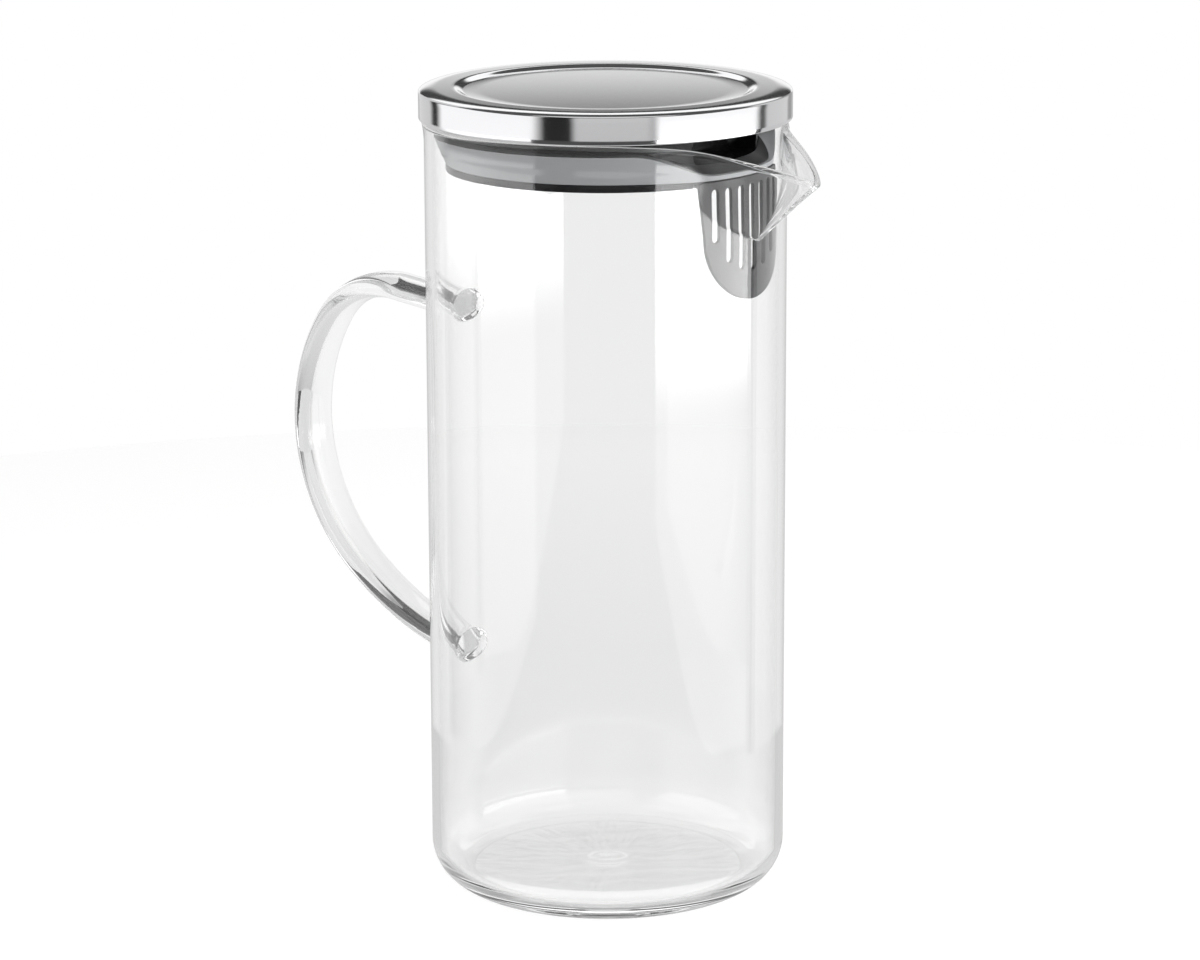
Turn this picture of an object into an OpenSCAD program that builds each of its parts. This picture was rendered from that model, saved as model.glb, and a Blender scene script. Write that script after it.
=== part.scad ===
// Glass pitcher with a drawn spout, a flat glass handle and a lift-off steel lid with a strainer.
// It stands on z = 0 with its axis on Z, the spout towards +X and the handle towards -X.

/* [Glass wall] */
// Outer radius of the blown wall
glass_r = 52.5; // [50:0.5:58]
// Thickness of the blown wall
wall = 2.4; // [2:0.1:3]
// Height of the rim above the table
rim_z = 229.3; // [215:0.1:250]
// How far the rim flares outwards
rim_flare = 0.8; // [0.2:0.1:1]
// Height of the flared band under the rim
flare_h = 7; // [4:0.5:10]

/* [Glass floor] */
// Outer corner radius at the foot
foot_r = 12.7; // [10:0.1:15]
// Thickness of the floor
floor_t = 4.6; // [3.5:0.1:6]
// Inner corner radius where floor and wall meet
heel_r = 8; // [5:0.5:9]
// Radius of the dimple left in the middle of the floor
dimple_r = 6.3; // [4:0.1:9]
// Depth of that dimple
dimple_depth = 0.8; // [0.4:0.1:1.2]

/* [Spout] */
// How far the tip of the spout reaches beyond the wall
spout_reach = 20.5; // [14:0.5:24]
// How far the tip lies below the rim
spout_dip = 12.5; // [9:0.5:15]
// How far below the rim the pinched crease begins
spout_drop = 31; // [27:0.5:35]
// Half of the angle over which the wall is pinched, in degrees
spout_half_angle = 29; // [24:1:34]
// Half of the angle over which the rim dips, in degrees
dip_half_angle = 88; // [70:1:100]
// Height that the edge of the pinch climbs from the crease to its widest place
spout_climb = 18; // [14:0.5:18.5]

/* [Handle] */
// Width of the flat glass rod
handle_w = 15; // [12:0.5:18]
// Thickness of the flat glass rod
handle_t = 7.5; // [6:0.5:9]
// Height at which the upper end meets the wall
handle_top_z = 168.5; // [160:0.5:178]
// Angle at which the upper end rises from the wall, in degrees
handle_rise = 8; // [4:1:12]
// Straight length of the upper end
handle_run = 21.7; // [17:0.1:26]
// Radius of the tight bend at the top
handle_top_r = 26; // [22:0.5:30]
// Radius of the long bend at the back
handle_back_r = 59.4; // [54:0.2:64]
// Radius of the last bend, down to the wall
handle_tail_r = 92.4; // [85:0.2:100]
// Heading where the tight bend ends, from +X up to the path, in degrees
back_heading = -58; // [-62:1:-54]
// Heading where the long bend ends, in degrees
tail_heading = -137; // [-140:1:-134]
// How much wider than the rod its fused ends are, all round
pad_grow = 1.2; // [0.6:0.1:2]
// Length of each fused end
pad_run = 2.6; // [1.5:0.1:4]

/* [Lid cap] */
// How far the steel cap overhangs the glass wall
cap_overhang = 1.5; // [1.3:0.1:4]
// Height of the cap's skirt
cap_h = 8.9; // [8.2:0.1:12]
// Thickness of the steel sheet
sheet = 0.6; // [0.4:0.1:0.8]
// Radius of the cap's rounded top edge
cap_edge_r = 1.2; // [1:0.1:2]
// Width of the flat band round the pressed recess in the top
cap_band = 10.1; // [7:0.1:14]
// Width of the recess's sloped shoulder
shoulder_w = 3; // [2:0.1:5]
// Depth of the recess
recess_depth = 1; // [0.6:0.1:1.4]

/* [Lid plug] */
// How far the wall that carries the seal stands inside the glass
plug_inset = 6.1; // [5.5:0.1:8]
// Thickness of that wall
plug_wall = 2; // [1.5:0.1:2.5]
// How deep the plug reaches below the lid's seat
plug_depth = 14.3; // [13.5:0.1:16]
// Thickness of the bottom flange
flange_t = 2.2; // [1.8:0.1:3]
// How far the flange stands out from the wall
flange_out = 2.3; // [1.5:0.1:2.6]
// Thickness of the deck that rests over the rim
deck_t = 2; // [1.5:0.1:2.5]
// Thickness of the ribs that carry the cap
rib_t = 2; // [1.5:0.1:3]
// How far the inner rib under the cap stands inside that wall
rib_inset = 6; // [5.6:0.1:12]
// Width of the pour window
window_w = 34; // [28:0.5:38]
// Corner radius of the pour window
window_corner_r = 2.8; // [2:0.1:3]
// How far the closed pocket behind the window reaches in
pocket_depth = 12; // [9:0.5:13]

/* [Seal] */
// Height of the silicone seal
seal_h = 8.4; // [7.5:0.1:9]
// How much narrower the seal is at its foot than at its lip
seal_taper = 3.4; // [2.5:0.1:4]
// Height of seal left under the scoop
scoop_floor = 1.3; // [0.9:0.1:2]
// Half of the angle of the scoop's flat floor, in degrees
scoop_flat_angle = 17; // [12:1:20]
// Half of the angle of the whole scoop, in degrees
scoop_half_angle = 48; // [40:1:55]
// How much higher the scoop's floor is at the plug than at the lip
chute_rise = 2.1; // [1:0.1:2.4]
// Share of the seal's taper that is left in front of the spout
scoop_taper_share = 0.15; // [0.1:0.05:1]

/* [Strainer] */
// Thickness of the strainer
strainer_t = 1.2; // [0.9:0.1:1.5]
// Half of the strainer's width at its top
tongue_top_half = 20.6; // [19.6:0.1:22]
// Radius of the strainer's round bottom
tongue_r = 18.8; // [17.5:0.1:19.4]
// Length of the strainer from the flange's top to its lowest point
tongue_len = 35.8; // [33:0.1:40]
// Radius of its top corners
tongue_corner_r = 1.6; // [1:0.1:2]
// Number of slots
slot_count = 7; // [5:2:7]
// Width of a slot
slot_w = 2.5; // [1.8:0.1:2.8]
// Angle from one slot to the next, in degrees
slot_pitch = 6; // [5:0.1:6.2]
// Height of solid strainer under the longest slot
slot_margin = 8.3; // [7:0.1:10]
// Radius of the arc on which the slots end
slot_arc_r = 17; // [16.5:0.5:22]

/* [Fits] */
// Gap between the rim and the lid that rests on it
seat_gap = 0.3; // [0.2:0.05:0.4]
// Gap between the seal's lip and the glass
seal_gap = 0.3; // [0.25:0.05:0.5]
// Gap between the strainer and the glass
strainer_gap = 0.6; // [0.4:0.1:0.8]
// Gap between the steel cap and the plug inside it
cap_gap = 0.3; // [0.2:0.05:0.4]
// Gap between pieces of the plug that are clipped together
clip_gap = 0.05; // [0.02:0.01:0.1]
// Gap between the strainer's top and the seal above it, and between its slots and the flange
tongue_gap = 0.3; // [0.2:0.05:0.5]

/* [Hidden] */
$fn = 96;

// One overrun serves every cut.
over = 1;
// The lofted collar of the glass keeps this far inside the revolved wall below it.
seam = 0.1;
inner_r = glass_r - wall;
cap_r = glass_r + cap_overhang;
recess_r = cap_r - cap_band;
plug_r = inner_r - plug_inset;
rib_r = plug_r - rib_inset;

// How sharply the lip draws to its tip, and the rim dips.
lip_curve = 1.6;
dip_curve = 4.3;
flare_curve = 2;
// Angle that rounds off the very tip, in degrees.
tip_angle = 1.2;
// The drawn glass is cut this much thicker level, so that it keeps its thickness across the slope.
draw_share = 0.15;
crease_z = rim_z - spout_drop;
// The lofted collar starts this far below the crease.
collar_run = 4.2;
split_z = crease_z - collar_run;
fine_cols = 36;
coarse_cols = 60;
wall_rows = 16;
crease_row = 6;
rim_rows = 6;
run_rows = 6;
bend_rows = 18;
rod_sides = 24;
// Below 1, this share squares the rod's oval off a little.
oval_share = 0.85;

lid_z = rim_z + seat_gap;
flange_z = lid_z - plug_depth;
flange_top_z = flange_z + flange_t;
deck_r = cap_r - sheet - cap_gap;
outer_rib_h = cap_h - 2 * sheet - cap_gap;
inner_rib_h = cap_h - recess_depth - sheet - cap_gap;

seal_lip_r = inner_r - seal_gap;
seal_bore_r = plug_r + clip_gap;
seal_cols = 96;
// Bevel on the seal's lip, and how far its scoop's floor sags, as a share of its rise.
lip_bevel = 0.2;
hollow_share = 0.2;

strainer_r = inner_r - strainer_gap;
shelf_t = flange_t / 2;
// The seat that the shelf is let into is wider than the shelf by this angle at each end.
shelf_play = 1;
tongue_top_z = flange_top_z - tongue_gap;
tongue_low_z = flange_top_z - tongue_len;
tongue_mid_z = tongue_low_z + tongue_r;
shelf_angle = asin((tongue_top_half - tongue_corner_r / 2) / strainer_r);
slot_top_z = flange_z - tongue_gap;
slot_low_z = tongue_low_z + slot_margin;

glass_color = [0.86, 0.9, 0.91, 0.35];

// Distance of an angle from the spout's direction, 0 to 180 degrees.
function off_axis(a) = abs(a) > 180 ? 360 - abs(a) : abs(a);

// A share of the way from 0 to 1, with soft ends.
function soft(u) = let (v = min(1, max(0, u))) v * v * (3 - 2 * v);

// The rounded distance from the spout's middle, so that its tip isn't a knife edge.
function blunt(b) = sqrt(b * b + tip_angle * tip_angle) - tip_angle;

// The rim's height and radius at an angle b from the spout.
function lip_z(b) = rim_z - spout_dip * pow(max(0, 1 - b / dip_half_angle), dip_curve);
function lip_out(b) = spout_reach * pow(max(0, 1 - blunt(b) / spout_half_angle), lip_curve);

// Where the pinch starts above the plain wall, at an angle b from the spout.
function pinch_z(b) = crease_z + spout_climb * (1 - sqrt(max(0, 1 - b / spout_half_angle)));

// How far the wall stands out at height z and angle b: pinched spout and flared rim together.
function pinch_share(z, b) = let (low = pinch_z(b)) min(1, max(0, (z - low) / (lip_z(b) - low)));
function flare_out(z, b) = rim_flare * pow(max(0, 1 - (lip_z(b) - z) / flare_h), flare_curve);
function wall_out(z, b) = lip_out(b) * pinch_share(z, b) + flare_out(z, b);
function wall_in(z, b) =
    wall_out(z, b) - wall * draw_share * pinch_share(z, b) * min(1, lip_out(b) / flare_h);

function on_ring(r, a, z) = [r * cos(a), r * sin(a), z];

// Height of a row of the collar. One row follows the edge of the pinch, so that its crease is sharp.
function row_z(j, b, low, high) =
    let (mid = pinch_z(b), rest = wall_rows - crease_row)
    j < crease_row ? low + (mid - low) * j / crease_row : mid + (high - mid) * (j - crease_row) / rest;

// One upright section of the collar: up the outside, over the rim, down the inside.
function collar_section(a) =
    let (b = off_axis(a), low = split_z - over, high = lip_z(b) - wall / 2)
    let (out_r = glass_r - seam, in_r = inner_r + seam)
    let (rim_out = out_r + wall_out(high, b), rim_in = in_r + wall_in(high, b))
    let (mid_r = (rim_out + rim_in) / 2, half_w = (rim_out - rim_in) / 2)
    concat(
        [for (j = [0 : wall_rows]) let (z = row_z(j, b, low, high))
            on_ring(out_r + wall_out(z, b), a, z)],
        [for (j = [1 : rim_rows - 1]) let (t = 180 * j / rim_rows)
            on_ring(mid_r + half_w * cos(t), a, high + wall / 2 * sin(t))],
        [for (j = [wall_rows : -1 : 0]) let (z = row_z(j, b, low, high))
            on_ring(in_r + wall_in(z, b), a, z)]
    );

// Angles of the sections: close together across the spout, wider round the rest.
function collar_angles() = concat(
    [for (i = [0 : fine_cols - 1]) -spout_half_angle + 2 * spout_half_angle * i / fine_cols],
    [for (i = [0 : coarse_cols - 1]) spout_half_angle + (360 - 2 * spout_half_angle) * i / coarse_cols]
);

// Joins a ring of closed sections into one solid.
module loft_ring(sections) {
    n = len(sections);
    m = len(sections[0]);
    points = [for (s = sections) each s];
    faces = [for (i = [0 : n - 1], j = [0 : m - 1])
        let (i2 = (i + 1) % n, j2 = (j + 1) % m)
        each [[i * m + j, i * m + j2, i2 * m + j2], [i * m + j, i2 * m + j2, i2 * m + j]]];
    polyhedron(points = points, faces = faces, convexity = 8);
}

// A vertical block with a rounded corner at its outer foot, as a half section.
module foot_section(r, low, high, corner) {
    translate([0, low]) square([r - corner, high - low]);
    translate([0, low + corner]) square([r, high - low - corner]);
    translate([r - corner, low + corner]) circle(r = corner);
}

module half_plane() {
    translate([0, -over]) square([glass_r * 2, rim_z * 2]);
}

// The blown body: thick floor, straight wall, and a lofted collar with the spout drawn out of it.
module glass_body() {
    color(glass_color) union() {
        rotate_extrude() intersection() {
            half_plane();
            difference() {
                foot_section(glass_r, 0, split_z, foot_r);
                foot_section(inner_r, floor_t, split_z + over + heel_r, heel_r);
                dimple_section();
            }
        }
        loft_ring([for (a = collar_angles()) collar_section(a)]);
    }
}

// The shallow dimple is the cap of a sphere.
module dimple_section() {
    ball_r = (dimple_r * dimple_r + dimple_depth * dimple_depth) / (2 * dimple_depth);
    translate([0, floor_t - dimple_depth + ball_r]) circle(r = ball_r);
}

// The rod's path lies in the XZ plane, and its headings are angles from +X up to the path.
function bend_centre(p, r, h) = [p[0] + r * sin(h), p[1] - r * cos(h)];
function bend_point(c, r, h) = [c[0] - r * sin(h), c[1] + r * cos(h)];
run_start = [glass_r, handle_top_z];
run_end = run_start + handle_run * [cos(handle_rise), sin(handle_rise)];
top_centre = bend_centre(run_end, handle_top_r, handle_rise);
top_end = bend_point(top_centre, handle_top_r, back_heading);
back_centre = bend_centre(top_end, handle_back_r, back_heading);
back_end = bend_point(back_centre, handle_back_r, tail_heading);
tail_centre = bend_centre(back_end, handle_tail_r, tail_heading);
// Heading at which the last bend has reached the inside of the wall.
stop_heading = -180 - asin((tail_centre[0] - inner_r) / handle_tail_r);

// Stations along a bend, each a point with its heading.
function bend_stations(c, r, h1, h2, n) =
    [for (i = [1 : n]) let (h = h1 + (h2 - h1) * i / n) [bend_point(c, r, h), h]];

function rod_stations() = concat(
    [for (i = [0 : run_rows]) let (x = -wall + (handle_run + wall) * i / run_rows)
        [run_start + x * [cos(handle_rise), sin(handle_rise)], handle_rise]],
    bend_stations(top_centre, handle_top_r, handle_rise, back_heading, bend_rows),
    bend_stations(back_centre, handle_back_r, back_heading, tail_heading, bend_rows),
    bend_stations(tail_centre, handle_tail_r, tail_heading, stop_heading, run_rows)
);

// The rod swells where it was pressed on to the wall.
function swell(x) = pad_grow * (1 - soft((x - glass_r) / pad_run));

// A flat oval section, square to the path, at one station.
function rod_section(station) =
    let (p = station[0], h = station[1], grow = swell(p[0]))
    [for (i = [0 : rod_sides - 1])
        let (a = 360 * i / rod_sides, c = cos(a), s = sin(a))
        let (t = (handle_t / 2 + grow) * sign(c) * pow(abs(c), oval_share))
        let (w = (handle_w / 2 + grow) * sign(s) * pow(abs(s), oval_share))
        [p[0] + t * sin(h), w, p[1] - t * cos(h)]];

// Joins a row of closed sections into one solid with flat ends.
module loft_bar(sections) {
    n = len(sections);
    m = len(sections[0]);
    points = [for (s = sections) each s];
    last = (n - 1) * m;
    sides = [for (i = [0 : n - 2], j = [0 : m - 1])
        let (a = i * m + j, b = i * m + (j + 1) % m)
        each [[a, b + m, b], [a, a + m, b + m]]];
    ends = [for (j = [1 : m - 2]) each [[0, j, j + 1], [last, last + j + 1, last + j]]];
    polyhedron(points = points, faces = concat(sides, ends), convexity = 6);
}

// The handle is one bent glass rod, cut to the wall that its ends are fused to.
module glass_handle() {
    color(glass_color) difference() {
        rotate([0, 0, 180]) loft_bar([for (station = rod_stations()) rod_section(station)]);
        cylinder(r = glass_r, h = rim_z);
    }
}

// The space under a pressed sheet, as a half section, for the outside and for the inside.
module cap_section(inset) {
    edge = cap_edge_r - inset;
    r = cap_r - inset;
    h = cap_h - inset;
    low = inset > 0 ? -over : 0;
    difference() {
        union() {
            translate([0, low]) square([r - edge, h - low]);
            translate([0, low]) square([r, h - edge - low]);
            translate([r - edge, h - edge]) circle(r = edge);
        }
        polygon([
            [0, h + over], [recess_r + inset, h + over], [recess_r + inset, h],
            [recess_r + inset - shoulder_w, h - recess_depth], [0, h - recess_depth]
        ]);
    }
}

// The steel cap is one pressed sheet with a skirt and a shallow recess.
module lid_cap() {
    color("gainsboro") translate([0, 0, lid_z]) rotate_extrude() intersection() {
        half_plane();
        difference() {
            cap_section(0);
            cap_section(sheet);
        }
    }
}

// A sector of a ring round Z, centred on the spout's direction.
module ring_sector(r1, r2, low, high, half_angle) {
    rotate([0, 0, -half_angle]) rotate_extrude(angle = 2 * half_angle)
        translate([r1, low]) square([r2 - r1, high - low]);
}

// A plate outline in the YZ plane, pushed out along +X between two distances from the axis.
module push_out(near, far) {
    translate([near, 0, 0]) rotate([90, 0, 90]) linear_extrude(far - near) children();
}

module rounded_outline(w, low, high, r) {
    translate([-w / 2, low + r]) square([w, high - low - 2 * r]);
    translate([-w / 2 + r, low]) square([w - 2 * r, high - low]);
    for (x = [-1, 1], z = [low + r, high - r])
        translate([x * (w / 2 - r), z]) circle(r = r);
}

// The walls of the pocket behind the pour window, before the window is cut.
module pocket_block(low, high) {
    intersection() {
        push_out(plug_r - pocket_depth - plug_wall, glass_r)
            translate([-window_w / 2 - plug_wall, low]) square([window_w + 2 * plug_wall, high - low]);
        cylinder(r = plug_r - plug_wall / 2, h = rim_z * 2);
    }
}

// The moulded plug: a deck over the rim, ribs that carry the cap, and a wall that carries the seal.
module lid_plug() {
    window_low = flange_top_z + scoop_floor + chute_rise;
    window_high = lid_z - plug_wall / 2;
    color([0.06, 0.06, 0.065]) difference() {
        union() {
            rotate_extrude() {
                translate([0, lid_z]) square([deck_r, deck_t]);
                translate([deck_r - rib_t, lid_z]) square([rib_t, outer_rib_h]);
                translate([rib_r - rib_t, lid_z]) square([rib_t, inner_rib_h]);
                translate([plug_r - plug_wall, flange_z]) square([plug_wall, plug_depth + deck_t / 2]);
                translate([plug_r - plug_wall, flange_z]) square([plug_wall + flange_out, flange_t]);
            }
            pocket_block(window_low - plug_wall, lid_z + deck_t / 2);
        }
        push_out(plug_r - pocket_depth, glass_r)
            rounded_outline(window_w, window_low, window_high, window_corner_r);
        ring_sector(plug_r - plug_wall - over, glass_r, flange_z - over, flange_z + shelf_t,
            shelf_angle + shelf_play);
    }
}

// Height and radius of the seal's edge at an angle b from the spout, and its height at the plug.
function scoop(b) = 1 - soft((b - scoop_flat_angle) / (scoop_half_angle - scoop_flat_angle));
function seal_edge_h(b) = seal_h - (seal_h - scoop_floor) * scoop(b);
function seal_edge_r(h, b) =
    seal_lip_r - seal_taper * (1 - h / seal_h) * (1 - (1 - scoop_taper_share) * scoop(b));
function seal_inner_h(b) = seal_edge_h(b) + chute_rise * scoop(b);

// One upright section of the seal, with the scoop's floor slightly hollow.
function seal_section(a) =
    let (b = off_axis(a), h = seal_edge_h(b), inner_h = seal_inner_h(b), r = seal_edge_r(h, b))
    let (hollow = chute_rise * scoop(b) * hollow_share)
    [
        on_ring(seal_bore_r, a, flange_top_z),
        on_ring(seal_edge_r(0, b), a, flange_top_z),
        on_ring(seal_edge_r(h / 2, b), a, flange_top_z + h / 2),
        on_ring(r, a, flange_top_z + h - lip_bevel),
        on_ring(r - lip_bevel, a, flange_top_z + h),
        on_ring((2 * r + seal_bore_r) / 3, a, flange_top_z + (2 * h + inner_h) / 3 - hollow),
        on_ring((r + 2 * seal_bore_r) / 3, a, flange_top_z + (h + 2 * inner_h) / 3 - hollow),
        on_ring(seal_bore_r, a, flange_top_z + inner_h)
    ];

// The silicone seal is a cone with a scoop towards the spout.
module seal_ring() {
    color("darkgray") loft_ring([for (i = [0 : seal_cols - 1]) seal_section(360 * i / seal_cols)]);
}

// Outline of the strainer: straight tapering sides and a round bottom.
module tongue_outline() {
    corner_z = tongue_top_z - tongue_corner_r;
    polygon([
        [-tongue_r, tongue_mid_z], [tongue_r, tongue_mid_z],
        [tongue_top_half, corner_z], [-tongue_top_half, corner_z]
    ]);
    intersection() {
        translate([0, tongue_mid_z]) circle(r = tongue_r);
        translate([-glass_r, 0]) square([2 * glass_r, tongue_mid_z + over]);
    }
    translate([tongue_corner_r - tongue_top_half, corner_z - over])
        square([2 * (tongue_top_half - tongue_corner_r), tongue_corner_r + over]);
    for (x = [-1, 1])
        translate([x * (tongue_top_half - tongue_corner_r), corner_z]) circle(r = tongue_corner_r);
}

// The bottom of a slot that lies at an angle from the middle one.
function slot_end_z(angle) =
    slot_low_z + slot_arc_r - sqrt(pow(slot_arc_r, 2) - pow(strainer_r * sin(angle), 2));

module slot_outline(low, high) {
    translate([-slot_w / 2, low + slot_w / 2]) square([slot_w, high - low - slot_w]);
    for (z = [low + slot_w / 2, high - slot_w / 2]) translate([0, z]) circle(d = slot_w);
}

// The strainer is a slotted tongue on a shelf that is let into the plug's flange.
module strainer() {
    inside_r = strainer_r - strainer_t;
    color([0.2, 0.2, 0.21]) difference() {
        union() {
            intersection() {
                ring_sector(inside_r, strainer_r, tongue_low_z - over, tongue_top_z + over,
                    scoop_half_angle);
                push_out(plug_r / 2, glass_r) tongue_outline();
            }
            ring_sector(plug_r - plug_wall, strainer_r - strainer_t / 2,
                flange_z, flange_z + shelf_t - clip_gap, shelf_angle);
        }
        for (k = [-(slot_count - 1) / 2 : (slot_count - 1) / 2]) rotate([0, 0, k * slot_pitch])
            push_out(inside_r - over, strainer_r + over)
                slot_outline(slot_end_z(k * slot_pitch), slot_top_z);
    }
}

glass_body();
glass_handle();
lid_cap();
lid_plug();
seal_ring();
strainer();
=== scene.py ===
# %% [markdown]
# A glass pitcher with a drawn spout, a flat glass handle and a steel lid.
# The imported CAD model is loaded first. It fixes where every piece is, how big it is and how it moves, so each
# piece below is drawn round the same axis: Z up, the spout towards +X, the handle towards -X, in metres.

# %% Load the frame
import math
import bpy
from mathutils import Matrix, Vector


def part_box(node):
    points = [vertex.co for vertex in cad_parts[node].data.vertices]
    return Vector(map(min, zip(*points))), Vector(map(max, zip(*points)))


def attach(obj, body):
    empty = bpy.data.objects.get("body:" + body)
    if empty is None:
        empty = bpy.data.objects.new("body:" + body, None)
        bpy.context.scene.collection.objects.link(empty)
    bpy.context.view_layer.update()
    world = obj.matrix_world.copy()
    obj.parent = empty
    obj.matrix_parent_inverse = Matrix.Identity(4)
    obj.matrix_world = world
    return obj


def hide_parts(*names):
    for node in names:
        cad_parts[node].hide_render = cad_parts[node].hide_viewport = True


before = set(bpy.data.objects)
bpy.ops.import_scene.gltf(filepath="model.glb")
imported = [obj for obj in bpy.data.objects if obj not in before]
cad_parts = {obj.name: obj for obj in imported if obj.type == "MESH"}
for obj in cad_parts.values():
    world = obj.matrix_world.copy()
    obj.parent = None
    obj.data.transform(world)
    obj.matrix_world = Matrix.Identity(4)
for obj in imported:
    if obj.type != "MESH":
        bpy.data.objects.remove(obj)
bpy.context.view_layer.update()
scene = bpy.context.scene
scene.view_settings.view_transform = "Standard"

# %% [markdown]
# The driving sizes are written once, in millimetres times MM, as a glassblower or a toolmaker would give
# them. The heights that the CAD model already holds are read from its boxes, so nothing is measured twice.

# %% Sizes of the pitcher
MM = 0.001
GLASS_R = 52.5 * MM
WALL = 2.4 * MM
INNER_R = GLASS_R - WALL
RIM_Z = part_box("glass_body")[1].z
LID_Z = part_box("lid_cap")[0].z
CAP_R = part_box("lid_cap")[1].x
CAP_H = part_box("lid_cap")[1].z - LID_Z
FLANGE_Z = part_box("lid_plug")[0].z
TONGUE_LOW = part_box("strainer")[0].z
TONGUE_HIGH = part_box("strainer")[1].z
print("rim at", round(RIM_Z, 4), "lid seat at", round(LID_Z, 4), "cap radius", round(CAP_R, 4))

# %% [markdown]
# The camera comes before the making, because it fixes which details matter. It is a long lens a good metre
# away that looks down on the lid. Its place was found from the ellipses of the lid, the rim and the foot. The
# photograph leans by a fifth of a degree, so the camera rolls with it.

# %% Camera
IMAGE_W = 1200
FOCAL_PX = 4394
SENSOR_MM = 36
CAMERA_AZIMUTH = math.radians(34)
CAMERA_AWAY = 1256.1 * MM
CAMERA_Z = 428.2 * MM
CAMERA_DOWN = math.radians(13.72)
CAMERA_ROLL = math.radians(-0.19)
AXIS_PX = 606.8

camera_data = bpy.data.cameras.new("camera")
camera_data.sensor_width = SENSOR_MM
camera_data.lens = FOCAL_PX / IMAGE_W * SENSOR_MM
camera = bpy.data.objects.new("camera", camera_data)
scene.collection.objects.link(camera)
camera.location = (CAMERA_AWAY * math.sin(CAMERA_AZIMUTH), -CAMERA_AWAY * math.cos(CAMERA_AZIMUTH), CAMERA_Z)
aim_aside = math.atan((AXIS_PX - IMAGE_W / 2) / FOCAL_PX)
pan = Matrix.Rotation(CAMERA_AZIMUTH + aim_aside, 3, "Z")
tilt = Matrix.Rotation(math.pi / 2 - CAMERA_DOWN, 3, "X")
camera.rotation_euler = (pan @ tilt @ Matrix.Rotation(CAMERA_ROLL, 3, "Z")).to_euler()
scene.camera = camera
print("camera at", [round(v, 3) for v in camera.location], "lens", round(camera_data.lens, 1))

# %% [markdown]
# A few small helpers serve all the modelling. Operators act on whatever is selected, so each piece starts
# from an empty selection. A turned piece grows from a single point, which is a tiny plane merged at its
# centre.

# %% Modelling helpers
def clear_selection():
    bpy.ops.object.select_all(action="DESELECT")


def make_active(piece):
    clear_selection()
    piece.select_set(True)
    bpy.context.view_layer.objects.active = piece


def start_piece(name, add, **place):
    clear_selection()
    add(**place)
    piece = bpy.context.object
    piece.name = name
    piece.data.name = name
    return piece


def start_point(name, point):
    """Leaves a piece of one selected point in edit mode."""
    piece = start_piece(name, bpy.ops.mesh.primitive_plane_add, size=MM, location=(0, 0, 0))
    bpy.ops.object.mode_set(mode="EDIT")
    bpy.ops.mesh.select_all(action="SELECT")
    bpy.ops.mesh.merge(type="CENTER")
    bpy.ops.transform.translate(value=point)
    return piece


def apply_modifiers(piece):
    make_active(piece)
    for name in [m.name for m in piece.modifiers]:
        bpy.ops.object.modifier_apply(modifier=name)


def close_open_ends():
    """Fills the open ends of the piece that is in edit mode, and leaves everything selected."""
    bpy.ops.mesh.select_all(action="DESELECT")
    bpy.ops.mesh.select_non_manifold()
    bpy.ops.mesh.edge_face_add()
    bpy.ops.mesh.select_all(action="SELECT")


def cut(piece, cutter, operation="DIFFERENCE"):
    """Cuts one closed piece with another and throws the cutter away."""
    boolean = piece.modifiers.new("cut", "BOOLEAN")
    boolean.operation = operation
    boolean.solver = "EXACT"
    boolean.object = cutter
    apply_modifiers(piece)
    bpy.data.objects.remove(cutter)


def round_edges(piece, width, angle=30, segments=3):
    bevel = piece.modifiers.new("round", "BEVEL")
    bevel.width = width
    bevel.segments = segments
    bevel.limit_method = "ANGLE"
    bevel.angle_limit = math.radians(angle)
    bevel.use_clamp_overlap = True
    apply_modifiers(piece)


def finish_piece(piece, material, body, slot, *nodes, angle=35):
    """Shades a piece smooth, gives it its finish and body, and hides its CAD nodes."""
    make_active(piece)
    bpy.ops.object.transform_apply(location=True, rotation=True, scale=True)
    bpy.ops.object.shade_smooth_by_angle(angle=math.radians(angle))
    piece.data.materials.clear()
    piece.data.materials.append(material)
    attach(piece, body)
    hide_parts(*nodes)
    corners = [[round(f(v.co[i] for v in piece.data.vertices) / MM, 1) for i in range(3)] for f in (min, max)]
    print(piece.name, len(piece.data.polygons), "faces, from", corners[0], "to", corners[1], "mm")


# %% [markdown]
# Most pieces are turned: a section in the XZ plane is spun once round the axis. A section is a list of
# points, and its straight and round stretches are worked out here.

# %% Turned sections
def arc(cx, cz, r, start, stop, steps):
    """Points of an arc, ends included. Angles are in degrees from +X towards +Z."""
    angles = [math.radians(start + (stop - start) * i / steps) for i in range(steps + 1)]
    return [(cx + r * math.cos(a), cz + r * math.sin(a)) for a in angles]


def line(x1, z1, x2, z2, steps=1):
    """Points along a straight stretch, ends included."""
    return [(x1 + (x2 - x1) * i / steps, z1 + (z2 - z1) * i / steps) for i in range(steps + 1)]


def soft_step(u):
    u = min(1, max(0, u))
    return u * u * (3 - 2 * u)


def s_curve(x1, z1, x2, z2, steps):
    """A stretch that leaves and arrives level."""
    return [(x1 + (x2 - x1) * i / steps, z1 + (z2 - z1) * soft_step(i / steps)) for i in range(steps + 1)]


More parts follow.
